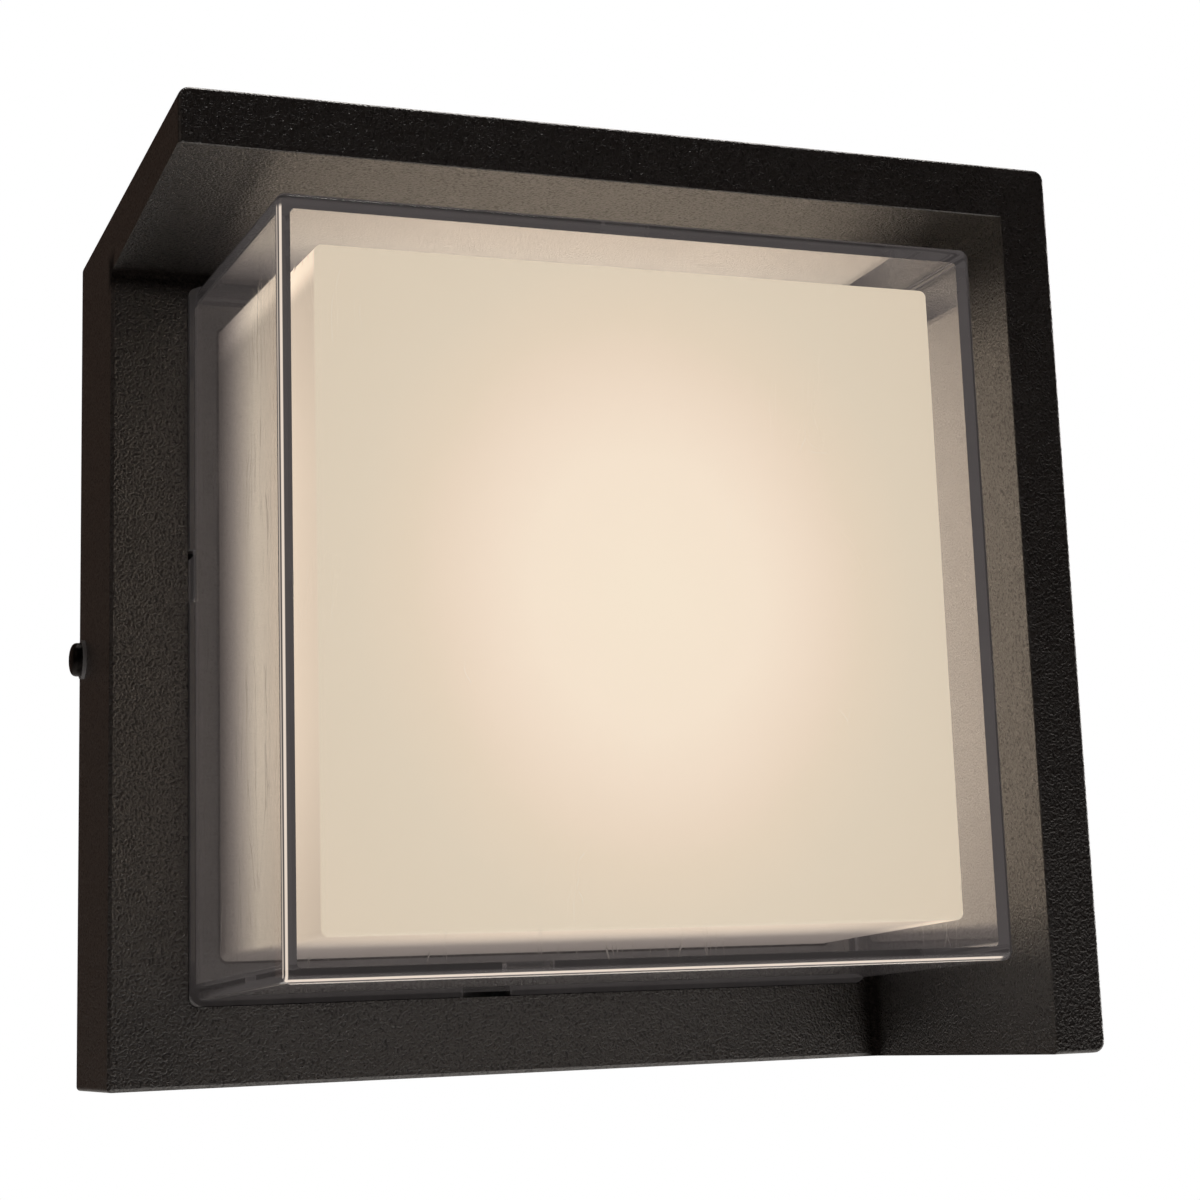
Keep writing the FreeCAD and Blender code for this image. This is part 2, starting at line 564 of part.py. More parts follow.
def make_driver_case():
    half_w = DRIVER_W / 2
    case = box(-half_w, half_w, FACE_BACK_Y, DRIVER_BACK_Y - DRIVER_LID_T, DRIVER_BOTTOM_Z, DRIVER_TOP_Z)
    wall = DRIVER_WALL
    hollow = box(-half_w + wall, half_w - wall, FACE_BACK_Y + wall, DRIVER_BACK_Y,
                 DRIVER_BOTTOM_Z + wall, DRIVER_TOP_Z - wall)
    ears = []
    for sx in (-1, 1):
        near = sx * half_w
        far = sx * (half_w + DRIVER_EAR)
        ear = box(min(near, far), max(near, far), FACE_BACK_Y, FACE_BACK_Y + DRIVER_EAR_T,
                  -DRIVER_DROP - DRIVER_EAR / 2, -DRIVER_DROP + DRIVER_EAR / 2)
        hole = rod(M3_R + M3_CLEAR, V((near + far) / 2, FACE_BACK_Y - OVERRUN, -DRIVER_DROP), V(0, 1, 0),
                   DRIVER_EAR_T + 2 * OVERRUN)
        ears.append(ear.cut(hole))
    ports = []
    for x in lead_columns():
        for start, way in ((DRIVER_BOTTOM_Z - OVERRUN, 1), (DRIVER_TOP_Z + OVERRUN, -1)):
            ports.append(rod(LEAD_R, V(x, DRIVER_MID_Y, start), V(0, 0, way), wall + 2 * OVERRUN))
    return case.cut(hollow).multiFuse(ears).cut(ports[0].multiFuse(ports[1:])).removeSplitter()


def make_driver_lid():
    half_w = DRIVER_W / 2
    under = DRIVER_BACK_Y - DRIVER_LID_T
    plate = box(-half_w, half_w, under, DRIVER_BACK_Y, DRIVER_BOTTOM_Z, DRIVER_TOP_Z)
    gap = DRIVER_WALL + DRIVER_LID_GAP
    plug = box(-half_w + gap, half_w - gap, under - DRIVER_LID_T, under,
               DRIVER_BOTTOM_Z + gap, DRIVER_TOP_Z - gap)
    rebate = box(-half_w + 2 * gap, half_w - 2 * gap, under - DRIVER_LID_T - OVERRUN, under,
                 DRIVER_BOTTOM_Z + 2 * gap, DRIVER_TOP_Z - 2 * gap)
    return plate.fuse(plug.cut(rebate)).removeSplitter()


def make_driver_screws():
    length = DRIVER_EAR_T + FACE_WALL - BLIND_SKIN - TIP_GAP
    seats = [V(sx * (DRIVER_W + DRIVER_EAR) / 2, FACE_BACK_Y + DRIVER_EAR_T, -DRIVER_DROP) for sx in (-1, 1)]
    return [pan_screw(seat, V(0, -1, 0), length, M3_R, M3_HEAD_R, M3_HEAD_H) for seat in seats]


def plate_holes(radius):
    places = four(PLATE_W / 2 - PLATE_POST_INSET, PLATE_H / 2 - PLATE_POST_INSET)
    length = PLATE_SEAL_T + PLATE_T + 2 * OVERRUN
    return [rod(radius, V(x, POST_BACK_Y - OVERRUN, z), V(0, 1, 0), length) for x, z in places]


def make_plate_seal():
    outer = slab(PLATE_W, PLATE_H, PLATE_CORNER_R, POST_BACK_Y, PLATE_FRONT_Y)
    inner = slab(PLATE_W - 2 * SEAL_W, PLATE_H - 2 * SEAL_W, PLATE_CORNER_R, POST_BACK_Y, PLATE_FRONT_Y)
    corner = PLATE_POST_INSET + PLATE_POST_R
    pads = []
    for sx, sz in four(1, 1):
        x = sorted((sx * PLATE_W / 2, sx * (PLATE_W / 2 - corner)))
        z = sorted((sz * PLATE_H / 2, sz * (PLATE_H / 2 - corner)))
        pads.append(box(x[0], x[1], POST_BACK_Y, PLATE_FRONT_Y, z[0], z[1]))
    window = inner.cut(pads[0].multiFuse(pads[1:]))
    holes = plate_holes(M3_R + M3_CLEAR)
    return outer.cut(window).cut(holes[0].multiFuse(holes[1:]))


def make_plate():
    sheet = slab(PLATE_W, PLATE_H, PLATE_CORNER_R, PLATE_FRONT_Y, PLATE_BACK_Y)
    cuts = plate_holes(M3_R + M3_CLEAR)
    ahead = PLATE_FRONT_Y - OVERRUN
    cuts.append(rod(GROMMET_R, V(0, ahead, PLATE_HOLE_Z), V(0, 1, 0), PLATE_T + 2 * OVERRUN))
    cuts.append(rod(M3_R, V(EARTH_X, ahead, EARTH_Z), V(0, 1, 0), PLATE_T + 2 * OVERRUN))
    return sheet.cut(cuts[0].multiFuse(cuts[1:]))


def make_plate_screws():
    length = PLATE_T + PLATE_SEAL_T + M3_BITE - TIP_GAP
    return [pan_screw(V(x, PLATE_BACK_Y, z), V(0, -1, 0), length, M3_R, M3_HEAD_R, M3_HEAD_H)
            for x, z in four(PLATE_W / 2 - PLATE_POST_INSET, PLATE_H / 2 - PLATE_POST_INSET)]


def pole_columns():
    return [BLOCK_X + (i - (BLOCK_POLES - 1) / 2) * BLOCK_PITCH for i in range(BLOCK_POLES)]


def make_block():
    back = PLATE_BACK_Y + BLOCK_T
    top = BLOCK_BOTTOM_Z + BLOCK_H
    body = box(BLOCK_X - BLOCK_W / 2, BLOCK_X + BLOCK_W / 2, PLATE_BACK_Y, back, BLOCK_BOTTOM_Z, top)
    middle = BLOCK_BOTTOM_Z + BLOCK_H / 2
    cuts = []
    for x in pole_columns():
        cuts.append(rod(BLOCK_SCREW_R + BLOCK_SCREW_GAP, V(x, back, middle), V(0, -1, 0),
                        BLOCK_SCREW_SINK + BLOCK_SCREW_LEN))
        cuts.append(rod(BLOCK_PORT_R, V(x, BLOCK_LEAD_Y, top), V(0, 0, -1), BLOCK_PORT_DEEP))
        cuts.append(rod(LEAD_R, V(x, BLOCK_LEAD_Y, BLOCK_BOTTOM_Z), V(0, 0, 1), 2 * LEAD_R))
    for x in pole_columns()[1:]:
        edge = x - BLOCK_PITCH / 2
        cuts.append(box(edge - BLOCK_GROOVE / 2, edge + BLOCK_GROOVE / 2, back - BLOCK_SCREW_SINK,
                        back + OVERRUN, BLOCK_BOTTOM_Z - OVERRUN, top + OVERRUN))
    return body.cut(cuts[0].multiFuse(cuts[1:]))


def make_block_screw(pole):
    x = pole_columns()[pole]
    back = PLATE_BACK_Y + BLOCK_T - BLOCK_SCREW_SINK
    seat = V(x, back, BLOCK_BOTTOM_Z + BLOCK_H / 2)
    head = rod(BLOCK_SCREW_R, seat, V(0, -1, 0), BLOCK_SCREW_LEN)
    slot = box(x - BLOCK_SCREW_R, x + BLOCK_SCREW_R, back - BLOCK_SLOT_DEEP, back,
               seat.z - BLOCK_SLOT_W / 2, seat.z + BLOCK_SLOT_W / 2)
    return head.cut(slot)


def make_supply_lead(x, pole):
    """Driver to terminal block, through the back plate; the run sideways is left out where there is none."""
    pole_x = pole_columns()[pole]
    points = [V(x, DRIVER_MID_Y, DRIVER_TOP_Z), V(x, DRIVER_MID_Y, PLATE_HOLE_Z),
              V(x, BLOCK_LEAD_Y, PLATE_HOLE_Z)]
    if abs(pole_x - x) > LEAD_R:
        points.append(V(pole_x, BLOCK_LEAD_Y, PLATE_HOLE_Z))
    points.append(V(pole_x, BLOCK_LEAD_Y, BLOCK_BOTTOM_Z + 2 * LEAD_R))
    return lead(points, LEAD_R, LEAD_BEND)


def make_earth_lead():
    pole_x = pole_columns()[2]
    tail_x = EARTH_X - EARTH_LUG_R - LEAD_BEND
    points = [V(pole_x, BLOCK_LEAD_Y, BLOCK_BOTTOM_Z + 2 * LEAD_R), V(pole_x, BLOCK_LEAD_Y, EARTH_Z),
              V(tail_x, BLOCK_LEAD_Y, EARTH_Z), V(tail_x, PLATE_BACK_Y + EARTH_LUG_T, EARTH_Z)]
    return lead(points, LEAD_R, LEAD_BEND)


def make_earth_lug():
    eye = rod(EARTH_LUG_R, V(EARTH_X, PLATE_BACK_Y, EARTH_Z), V(0, 1, 0), EARTH_LUG_T)
    reach = EARTH_LUG_R + LEAD_BEND + 2 * LEAD_R
    tail = box(EARTH_X - reach, EARTH_X, PLATE_BACK_Y, PLATE_BACK_Y + EARTH_LUG_T,
               EARTH_Z - EARTH_TAIL_W / 2, EARTH_Z + EARTH_TAIL_W / 2)
    hole = rod(M3_R, V(EARTH_X, PLATE_BACK_Y - OVERRUN, EARTH_Z), V(0, 1, 0), EARTH_LUG_T + 2 * OVERRUN)
    return eye.fuse(tail).cut(hole).removeSplitter()


def make_earth_screw():
    seat = V(EARTH_X, PLATE_BACK_Y + EARTH_LUG_T, EARTH_Z)
    length = EARTH_LUG_T + PLATE_T + EARTH_SCREW_PAST
    return pan_screw(seat, V(0, -1, 0), length, M3_R, M3_HEAD_R, M3_HEAD_H)


def tab_bends(shape, x, y):
    """The two upright edges at the bends, at this distance from the centre and this depth."""
    return [e for e in shape.Edges
            if abs(abs(e.CenterOfMass.x) - x) < 1e-3 and abs(e.CenterOfMass.y - y) < 1e-3
            and abs(e.CenterOfMass.z) < 1e-3]


def make_bracket():
    outer = HALF_W - SHELL - BRACKET_SIDE_GAP
    bar = box(-outer, outer, -BRACKET_T, 0, -BRACKET_H / 2, BRACKET_H / 2)
    tabs = []
    for sx in (-1, 1):
        x = sorted((sx * outer, sx * (outer - BRACKET_T)))
        tabs.append(box(x[0], x[1], -BRACKET_TAB_REACH, 0, -BRACKET_TAB_H / 2, BRACKET_TAB_H / 2))
    shape = bar.multiFuse(tabs).removeSplitter()
    shape = shape.makeFillet(BRACKET_BEND_R + BRACKET_T, tab_bends(shape, outer, 0))
    shape = shape.makeFillet(BRACKET_BEND_R, tab_bends(shape, outer - BRACKET_T, -BRACKET_T))
    ahead = -BRACKET_T - OVERRUN
    through = BRACKET_T + 2 * OVERRUN
    cuts = [rod(CABLE_HOLE_R, V(0, ahead, 0), V(0, 1, 0), through)]
    slot_r = M4_R + SLOT_CLEAR
    run = BRACKET_SLOT_LEN / 2 - BRACKET_SLOT_R
    for sx in (-1, 1):
        x = sorted((sx * (outer + OVERRUN), sx * (outer - BRACKET_T - OVERRUN)))
        cuts.append(rod(slot_r, V(x[0], SCREW_Y, 0), V(1, 0, 0), through))
        cuts.append(box(x[0], x[1], -BRACKET_TAB_REACH - OVERRUN, SCREW_Y, -slot_r, slot_r))
        centre = sx * BRACKET_SLOT_SPACING / 2
        cuts.append(box(centre - run, centre + run, ahead, OVERRUN, -BRACKET_SLOT_R, BRACKET_SLOT_R))
        for end in (-run, run):
            cuts.append(rod(BRACKET_SLOT_R, V(centre + end, ahead, 0), V(0, 1, 0), through))
    cuts.append(rod(M3_R + RUN_CLEAR, V(BOND_SCREW_X, ahead, BOND_SCREW_Z), V(0, 1, 0), through))
    return shape.cut(cuts[0].multiFuse(cuts[1:])).removeSplitter()


def make_bond_screw():
    seat = V(BOND_SCREW_X, -BRACKET_T, BOND_SCREW_Z)
    return pan_screw(seat, V(0, 1, 0), BRACKET_T, M3_R, M3_HEAD_R, M3_HEAD_H)


def make_side_screw(sx):
    length = WASHER_T + SHELL + BRACKET_SIDE_GAP + BRACKET_T + NUT_GAP + CAGE_SPAN
    seat = V(sx * (HALF_W + WASHER_T), SCREW_Y, 0)
    return pan_screw(seat, V(-sx, 0, 0), length, M4_R, M4_HEAD_R, M4_HEAD_H)


def make_washers():
    washers = []
    for sx in (-1, 1):
        start = V(sx * HALF_W, SCREW_Y, 0)
        disc = rod(WASHER_R, start, V(sx, 0, 0), WASHER_T)
        washers.append(disc.cut(rod(M4_R + M4_WALL_CLEAR, start, V(sx, 0, 0), WASHER_T)))
    return washers


def make_nuts():
    nuts = []
    half = NUT_SIDE / 2
    for sx in (-1, 1):
        x = sorted((sx * (HALF_W - CAGE_IN), sx * (HALF_W - CAGE_IN - NUT_T)))
        nut = box(x[0], x[1], SCREW_Y - half, SCREW_Y + half, -half, half)
        bore = rod(M4_R + RUN_CLEAR, V(x[0] - OVERRUN, SCREW_Y, 0), V(1, 0, 0), NUT_T + 2 * OVERRUN)
        nuts.append(nut.cut(bore))
    return nuts


def save(name, shape):
    """Write one node; a list becomes one compound of separate solids."""
    if isinstance(shape, list):
        shape = Part.makeCompound(shape)
    shape.exportStep(f"parts/{name}.step")


NODES = {
    "housing": make_housing,
    "clear_cover": make_cover,
    "cover_gasket": make_cover_gasket,
    "opal_diffuser": make_diffuser,
    "diffuser_screws": make_diffuser_screws,
    "led_board": make_board,
    "thermal_pad": make_pad,
    "led_chips": make_chips,
    "reflector_tray": make_tray,
    "board_screws": make_board_screws,
    "board_plug": make_plug,
    "led_lead_red": lambda: make_led_lead(lead_columns()[0]),
    "led_lead_black": lambda: make_led_lead(lead_columns()[1]),
    "face_grommet": lambda: make_grommet(FACE_HOLE_Z, FACE_Y, FACE_BACK_Y),
    "driver_case": make_driver_case,
    "driver_lid": make_driver_lid,
    "driver_screws": make_driver_screws,
    "back_plate": make_plate,
    "plate_seal": make_plate_seal,
    "plate_screws": make_plate_screws,
    "plate_grommet": lambda: make_grommet(PLATE_HOLE_Z, PLATE_FRONT_Y, PLATE_BACK_Y),
    "terminal_block": make_block,
    "terminal_screw_earth": lambda: make_block_screw(2),
    "terminal_screw_live": lambda: make_block_screw(0),
    "terminal_screw_neutral": lambda: make_block_screw(1),
    "supply_lead_live": lambda: make_supply_lead(lead_columns()[0], 0),
    "supply_lead_neutral": lambda: make_supply_lead(lead_columns()[1], 1),
    "earth_lead": make_earth_lead,
    "earth_lug": make_earth_lug,
    "earth_screw": make_earth_screw,
    "wall_bracket": make_bracket,
    "bond_screw": make_bond_screw,
    "side_screw_left": lambda: make_side_screw(-1),
    "side_screw_right": lambda: make_side_screw(1),
    "screw_washers": make_washers,
    "clamp_nuts": make_nuts,
}

os.makedirs("parts", exist_ok=True)
for node, make in NODES.items():
    save(node, make())
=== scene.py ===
import math

import bmesh
import bpy
from mathutils import Matrix, Vector


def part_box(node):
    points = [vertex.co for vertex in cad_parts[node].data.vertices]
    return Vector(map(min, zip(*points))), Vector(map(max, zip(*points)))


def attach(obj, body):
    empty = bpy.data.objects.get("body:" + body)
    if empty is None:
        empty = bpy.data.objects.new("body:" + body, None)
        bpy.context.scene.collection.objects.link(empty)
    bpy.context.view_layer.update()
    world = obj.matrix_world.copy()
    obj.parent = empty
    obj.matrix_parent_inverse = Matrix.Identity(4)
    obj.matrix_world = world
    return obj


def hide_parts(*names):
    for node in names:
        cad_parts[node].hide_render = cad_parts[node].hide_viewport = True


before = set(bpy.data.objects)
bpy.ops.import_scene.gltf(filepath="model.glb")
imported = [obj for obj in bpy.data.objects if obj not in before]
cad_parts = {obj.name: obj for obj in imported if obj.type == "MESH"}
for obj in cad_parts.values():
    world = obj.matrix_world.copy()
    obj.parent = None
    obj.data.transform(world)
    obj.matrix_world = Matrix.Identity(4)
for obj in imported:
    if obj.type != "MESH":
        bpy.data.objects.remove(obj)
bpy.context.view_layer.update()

MM = 0.001


# Wall bracket: a crossbar pressed from 2 mm galvanised sheet, with a bent tab at each end.
# It is screwed to the wall first, and its own green earth screw is already fitted.
class Field:
    """A shader value. Sums written with it add Math nodes to the finish it belongs to."""

    def __init__(self, finish, socket):
        self.finish = finish
        self.socket = socket

    def sum(self, operation, *values):
        return self.finish.node("ShaderNodeMath", {"operation": operation}, dict(enumerate(values)))

    def __add__(self, other):
        return self.sum("ADD", self, other)

    def __radd__(self, other):
        return self.sum("ADD", other, self)

    def __sub__(self, other):
        return self.sum("SUBTRACT", self, other)

    def __rsub__(self, other):
        return self.sum("SUBTRACT", other, self)

    def __mul__(self, other):
        return self.sum("MULTIPLY", self, other)

    def __rmul__(self, other):
        return self.sum("MULTIPLY", other, self)

    def __truediv__(self, other):
        return self.sum("DIVIDE", self, other)

    def __pow__(self, other):
        return self.sum("POWER", self, other)

    def __abs__(self):
        return self.sum("ABSOLUTE", self)

    def least(self, other):
        return self.sum("MINIMUM", self, other)

    def most(self, other):
        return self.sum("MAXIMUM", self, other)

    def ease(self, low, high, start=0.0, end=1.0):
        """Runs smoothly from start to end as the value goes from low to high."""
        inputs = {"Value": self, "From Min": low, "From Max": high, "To Min": start, "To Max": end}
        return self.finish.node("ShaderNodeMapRange", {"interpolation_type": "SMOOTHSTEP"}, inputs)

    def output(self, name):
        """Another output of the node that this value came from."""
        return Field(self.finish, self.socket.node.outputs[name])


class Finish:
    """One material, built node by node."""

    def __init__(self, name, home=bpy.data.materials):
        self.material = home.new(name)
        self.material.use_nodes = True
        self.tree = self.material.node_tree
        self.tree.nodes.clear()
        self.place = self.node("ShaderNodeTexCoord", {}, {}, "Object")

    def node(self, kind, settings, inputs, output=0):
        """Adds a node with its settings and inputs, and returns one of its outputs."""
        made = self.tree.nodes.new(kind)
        for name, value in settings.items():
            if name == "stops":
                ramp = made.color_ramp
                while len(ramp.elements) < len(value):
                    ramp.elements.new(1.0)
                for element, (position, colour) in zip(ramp.elements, value):
                    element.position = position
                    element.color = (*colour, 1.0)
            else:
                setattr(made, name, value)
        for name, value in inputs.items():
            if isinstance(name, int):
                socket = made.inputs[name]
            else:
                socket = next(s for s in made.inputs if s.name == name and s.enabled)
            if isinstance(value, Field):
                self.tree.links.new(value.socket, socket)
            elif socket.type == "RGBA" and len(value) == 3:
                socket.default_value = (*value, 1.0)
            else:
                socket.default_value = value
        outputs = [s for s in made.outputs if s.enabled]
        if isinstance(output, int):
            return Field(self, outputs[output]) if outputs else None
        return Field(self, next(s for s in outputs if s.name == output))

    def axes(self):
        """The three object coordinates, in metres."""
        x = self.node("ShaderNodeSeparateXYZ", {}, {0: self.place}, "X")
        return x, x.output("Y"), x.output("Z")

    def stretched(self, factors, place=None):
        inputs = {0: place or self.place, 1: factors}
        return self.node("ShaderNodeVectorMath", {"operation": "MULTIPLY"}, inputs)

    def scaled(self, colour, factor):
        return self.node("ShaderNodeVectorMath", {"operation": "SCALE"}, {0: colour, "Scale": factor})

    def moved(self, place, amount, by):
        """A place pushed about by a colour, so that a pattern wanders."""
        inputs = {0: by, 1: (amount,) * 3, 2: place}
        return self.node("ShaderNodeVectorMath", {"operation": "MULTIPLY_ADD"}, inputs)

    def noise(self, scale, detail=3.0, rough=0.5, place=None, bend=0.0):
        inputs = {"Vector": place or self.place, "Scale": scale, "Detail": detail, "Roughness": rough,
                  "Distortion": bend}
        return self.node("ShaderNodeTexNoise", {}, inputs)

    def cells(self, scale, feature="F1", place=None, output="Distance"):
        inputs = {"Vector": place or self.place, "Scale": scale}
        return self.node("ShaderNodeTexVoronoi", {"feature": feature}, inputs, output)

    def blend(self, factor, first, second):
        """Colour that runs from first to second with the factor."""
        inputs = {"Factor": factor, "A": first, "B": second}
        return self.node("ShaderNodeMix", {"data_type": "RGBA"}, inputs, "Result")

    def relief(self, height, depth, under=None):
        """Surface normal for a height from 0 to 1 that stands depth metres high."""
        inputs = {"Height": height, "Distance": depth, "Strength": 1.0}
        if under:
            inputs["Normal"] = under
        return self.node("ShaderNodeBump", {}, inputs)

    def edge_nearness(self, node, reach):
        """1 on the long edges of a node's box, fading to 0 at reach from them."""
        low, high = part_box(node)
        gaps = []
        for value, a, b in zip(self.axes(), low, high):
            gaps.append((b - a) / 2 - abs(value - (a + b) / 2))
        smallest = gaps[0].least(gaps[1]).least(gaps[2])
        largest = gaps[0].most(gaps[1]).most(gaps[2])
        middle = gaps[0] + gaps[1] + gaps[2] - smallest - largest
        return middle.ease(0.0, reach, 1.0, 0.0)

    def principled(self, inputs):
        return self.node("ShaderNodeBsdfPrincipled", {}, inputs)

    def end(self, shader):
        self.node("ShaderNodeOutputMaterial", {}, {"Surface": shader})
        return self.material


def coat(material, *names):
    """Gives CAD nodes a finish, on their own objects' slots."""
    for name in names:
        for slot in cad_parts[name].material_slots:
            slot.link = "OBJECT"
            slot.material = material


def galvanised(name, spangle):
    """Hot-dip galvanised sheet: crystal spangles, rolling lines and a little white bloom."""
    zinc = Finish(name)
    wander = zinc.noise(300.0, 2.0)
    place = zinc.moved(zinc.place, 0.002, wander.output("Color"))
    crystal = zinc.cells(spangle, place=place, output="Color")
    tone = zinc.node("ShaderNodeSeparateColor", {}, {0: crystal}, "Red")
    seam = zinc.cells(spangle, "DISTANCE_TO_EDGE", place=place).ease(0.0, 0.06)
    rolled = zinc.noise(1.0, 4.0, 0.6, zinc.stretched((30.0, 30.0, 2600.0)))
    bloom = zinc.noise(55.0, 5.0, 0.65).ease(0.56, 0.72)
    colour = zinc.blend(tone, (0.42, 0.44, 0.46), (0.60, 0.62, 0.63))
    colour = zinc.blend(bloom * 0.6, colour, (0.70, 0.71, 0.70))
    rough = 0.28 + 0.2 * tone + 0.12 * rolled + 0.25 * bloom
    height = 0.5 * seam + 0.3 * rolled + 0.2 * zinc.noise(1800.0, 2.0)
    return zinc.end(zinc.principled({
        "Base Color": colour, "Metallic": 1.0 - 0.7 * bloom, "Roughness": rough,
        "Normal": zinc.relief(height, 0.02 * MM)}))


def plated(name, deep, pale, patina=0.12):
    """Plated steel: fine turning marks, soft handling stains and bright worn spots."""
    steel = Finish(name)
    stain = steel.noise(420.0, 4.0, 0.6).ease(0.35, 0.7)
    marks = steel.noise(5200.0, 3.0, 0.6)
    colour = steel.blend(0.25 + 0.75 * stain, deep, pale)
    height = 0.7 * marks + 0.3 * stain
    return steel.end(steel.principled({
        "Base Color": colour, "Metallic": 1.0 - patina * stain,
        "Roughness": 0.24 + 0.18 * stain + 0.1 * marks, "Normal": steel.relief(height, 0.01 * MM)}))


class Recipe:
    """A Geometry Nodes tree, built node by node, with named inputs for its sizes."""

    def __init__(self, name, sizes):
        self.tree = bpy.data.node_groups.new(name, "GeometryNodeTree")
        shelf = self.tree.interface
        shelf.new_socket("Geometry", in_out="INPUT", socket_type="NodeSocketGeometry")
        for label, kind in sizes.items():
            shelf.new_socket(label, in_out="INPUT", socket_type="NodeSocket" + kind)
        shelf.new_socket("Geometry", in_out="OUTPUT", socket_type="NodeSocketGeometry")
        self.given = self.tree.nodes.new("NodeGroupInput").outputs

    def node(self, kind, settings, inputs, output=0):
        """Adds a node with its settings and inputs, and returns one of its outputs."""
        made = self.tree.nodes.new(kind)
        for name, value in settings.items():
            setattr(made, name, value)
        for name, value in inputs.items():
            socket = made.inputs[name]
            for one in value if isinstance(value, list) else [value]:
                if isinstance(one, bpy.types.NodeSocket):
                    self.tree.links.new(one, socket)
                else:
                    socket.default_value = one
        return made.outputs[output]

    def sum(self, operation, first, second):
        return self.node("ShaderNodeMath", {"operation": operation}, {0: first, 1: second})

    def vector(self, x=0.0, y=0.0, z=0.0):
        return self.node("ShaderNodeCombineXYZ", {}, {0: x, 1: y, 2: z})

    def end(self, geometry):
        """Ends the tree with real geometry in the piece's own material."""
        real = self.node("GeometryNodeRealizeInstances", {}, {0: geometry})
        done = self.node("GeometryNodeSetMaterial", {}, {0: real, 2: self.given["Material"]})
        self.tree.links.new(done, self.tree.nodes.new("NodeGroupOutput").inputs[0])
        return self.tree

    def piece(self, name, mesh, values):
        """Runs the tree on a starting mesh and returns the result as one plain mesh object."""
        start = bpy.data.objects.new(name + "_start", mesh)
        bpy.context.scene.collection.objects.link(start)
        modifier = start.modifiers.new("recipe", "NODES")
        modifier.node_group = self.tree
        for item in self.tree.interface.items_tree:
            if item.in_out == "INPUT" and item.name in values:
                modifier[item.identifier] = values[item.name]
        graph = bpy.context.evaluated_depsgraph_get()
        result = bpy.data.meshes.new_from_object(start.evaluated_get(graph))
        result.materials.clear()
        result.materials.append(values["Material"])
        result.polygons.foreach_set("material_index", [0] * len(result.polygons))
        bpy.data.objects.remove(start)
        made = bpy.data.objects.new(name, result)
        bpy.context.scene.collection.objects.link(made)
        return made


def solids(name):
    """The box of every separate solid in a CAD node, as (low, high)."""
    shape = bmesh.new()
    shape.from_mesh(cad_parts[name].data)
    bmesh.ops.remove_doubles(shape, verts=shape.verts, dist=1e-6)
    left = set(shape.verts)
    boxes = []
    while left:
        island = [left.pop()]
        for vertex in island:
            for edge in vertex.link_edges:
                other = edge.other_vert(vertex)
                if other in left:
                    left.discard(other)
                    island.append(other)
        axes = list(zip(*(v.co for v in island)))
        boxes.append((Vector([min(a) for a in axes]), Vector([max(a) for a in axes])))
    shape.free()
    return sorted(boxes, key=lambda pair: tuple(round(v, 5) for v in pair[0]))


# Every screw is a pan head with a cross recess and a rolled thread, laid on the seats it is given.
DOME_POWER = 0.42
RECESS_LONG, RECESS_WIDE, RECESS_TALL = 1.1, 0.3, 1.3
RECESS_TAPER = 0.45
RECESS_LIFT = 1.05
THREAD_HALF = 0.5
THREAD_SINK = 0.54

pan = Recipe("pan_head_screws", {
    "Head radius": "Float", "Head height": "Float", "Thread radius": "Float", "Length": "Float",
    "Pitch": "Float", "Turn": "Float", "Seed": "Int", "Material": "Material"})
given = pan.given
head_radius, head_height, pitch = given["Head radius"], given["Head height"], given["Pitch"]

place = pan.node("ShaderNodeSeparateXYZ", {}, {0: pan.node("GeometryNodeInputPosition", {}, {})})
x, y, z = place.node.outputs
ball = pan.node("GeometryNodeMeshUVSphere", {}, {0: 40, 1: 24, 2: 1.0})
rise = pan.sum("POWER", pan.sum("MAXIMUM", z, 0.0), DOME_POWER)
domed = pan.vector(pan.sum("MULTIPLY", x, head_radius), pan.sum("MULTIPLY", y, head_radius),
                   pan.sum("MULTIPLY", rise, head_height))
head = pan.node("GeometryNodeSetPosition", {}, {0: ball, 2: domed})

arms = []
for along, across in ((RECESS_LONG, RECESS_WIDE), (RECESS_WIDE, RECESS_LONG)):
    size = pan.vector(pan.sum("MULTIPLY", head_radius, along), pan.sum("MULTIPLY", head_radius, across),
                      pan.sum("MULTIPLY", head_height, RECESS_TALL))
    arm = pan.node("GeometryNodeMeshCube", {}, {0: size})
    taper = pan.node("ShaderNodeMapRange", {}, {
        0: z, 1: pan.sum("MULTIPLY", head_height, -0.5 * RECESS_TALL),
        2: pan.sum("MULTIPLY", head_height, 0.5 * RECESS_TALL), 3: RECESS_TAPER, 4: 1.0})
    slim = pan.vector(pan.sum("MULTIPLY", x, taper), pan.sum("MULTIPLY", y, taper),
                      pan.sum("ADD", z, pan.sum("MULTIPLY", head_height, RECESS_LIFT)))
    arms.append(pan.node("GeometryNodeSetPosition", {}, {0: arm, 2: slim}))
cut = pan.node("GeometryNodeMeshBoolean", {"operation": "DIFFERENCE", "solver": "EXACT"}, {0: head, 1: arms})

